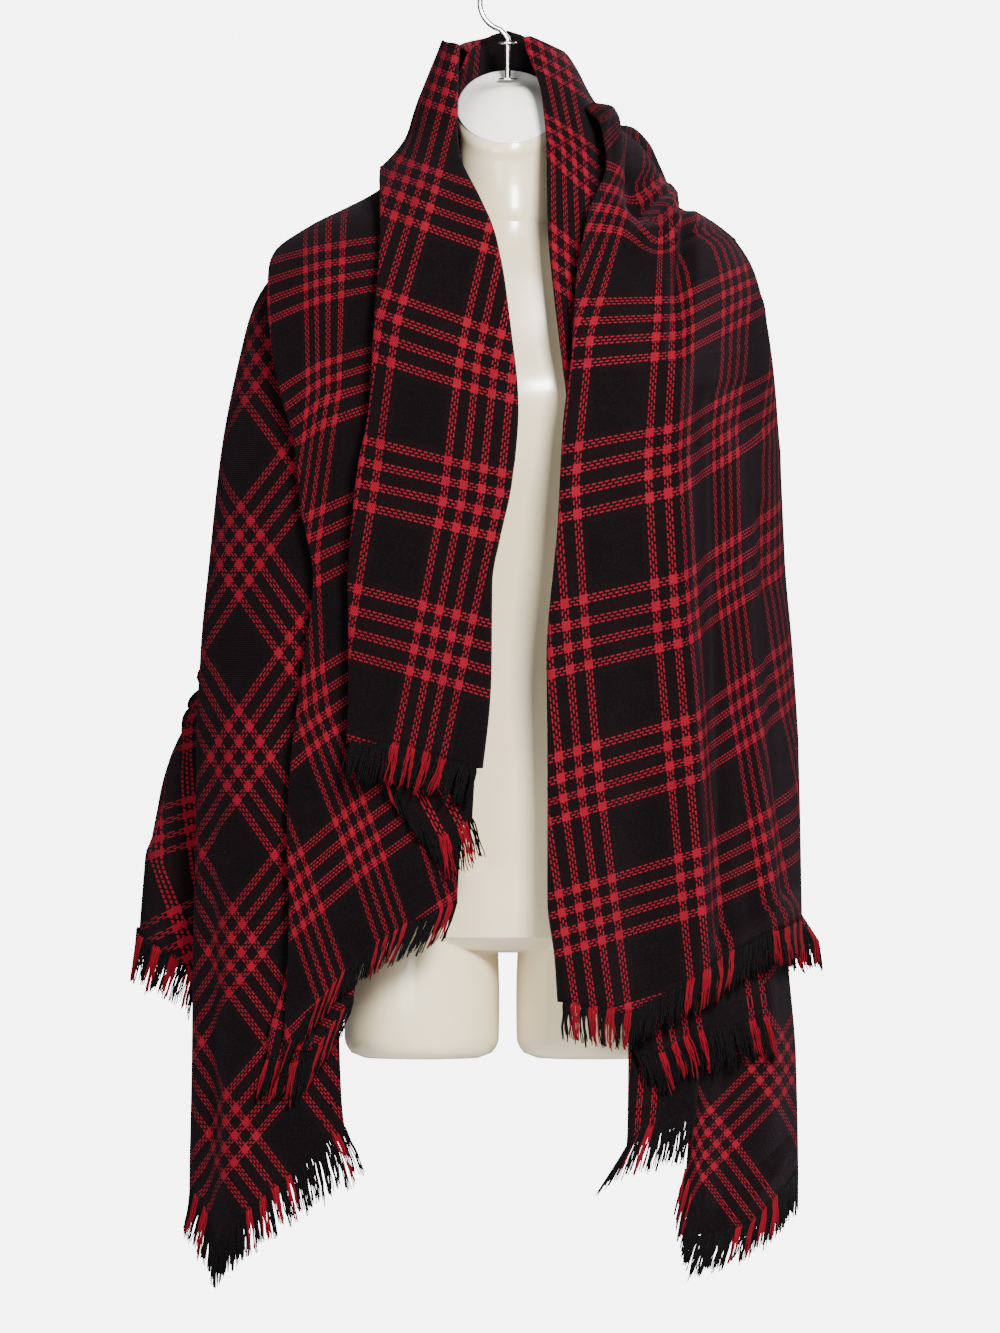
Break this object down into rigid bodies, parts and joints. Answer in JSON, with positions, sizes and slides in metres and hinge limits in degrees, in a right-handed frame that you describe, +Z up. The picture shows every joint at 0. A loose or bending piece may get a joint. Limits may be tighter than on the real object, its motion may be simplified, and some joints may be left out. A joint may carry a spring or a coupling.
{
  "type": "blanket scarf on hanging dress form",
  "caption": "Fringed plaid blanket scarf draped open over the shoulders of a limbless hanging dress form, held by the form's hook.",
  "frame": {"origin": "underside of the hook's top, on the dress form's upright axis, where a rail holds it", "axes": "+Z up, -Y towards the front of the form, +X to the viewer's right when seen from the front"},
  "size_m": [0.6206, 0.3313, 1.1698],
  "materials": {
    "plaid_cloth": "soft brushed twill, black with red striped checks",
    "plaid_fringe": "loose yarn ends, red and black as the stripes they leave",
    "form_plastic": "smooth glossy off-white plastic",
    "hanger_metal": "plated steel"
  },
  "bodies": {
    "root": {"back_drape": "plaid_cloth", "left_front": "plaid_cloth", "left_inner": "plaid_cloth", "left_lapel": "plaid_cloth", "left_side": "plaid_cloth", "left_under": "plaid_cloth", "right_collar": "plaid_cloth", "right_corner": "plaid_cloth", "right_inner": "plaid_cloth", "right_lapel": "plaid_cloth", "right_side": "plaid_cloth", "right_under": "plaid_cloth", "back_drape_fringe": "plaid_fringe", "left_front_fringe": "plaid_fringe", "left_inner_fringe": "plaid_fringe", "left_lapel_fringe": "plaid_fringe", "left_side_fringe": "plaid_fringe", "left_under_fringe": "plaid_fringe", "right_corner_fringe": "plaid_fringe", "right_inner_fringe": "plaid_fringe", "right_lapel_fringe": "plaid_fringe", "right_under_fringe": "plaid_fringe", "dress_form": "form_plastic", "base_washer": "hanger_metal", "hanger_pin": "hanger_metal", "pin_washer": "hanger_metal", "swan_neck_hook": "hanger_metal"}
  },
  "joints": []
}
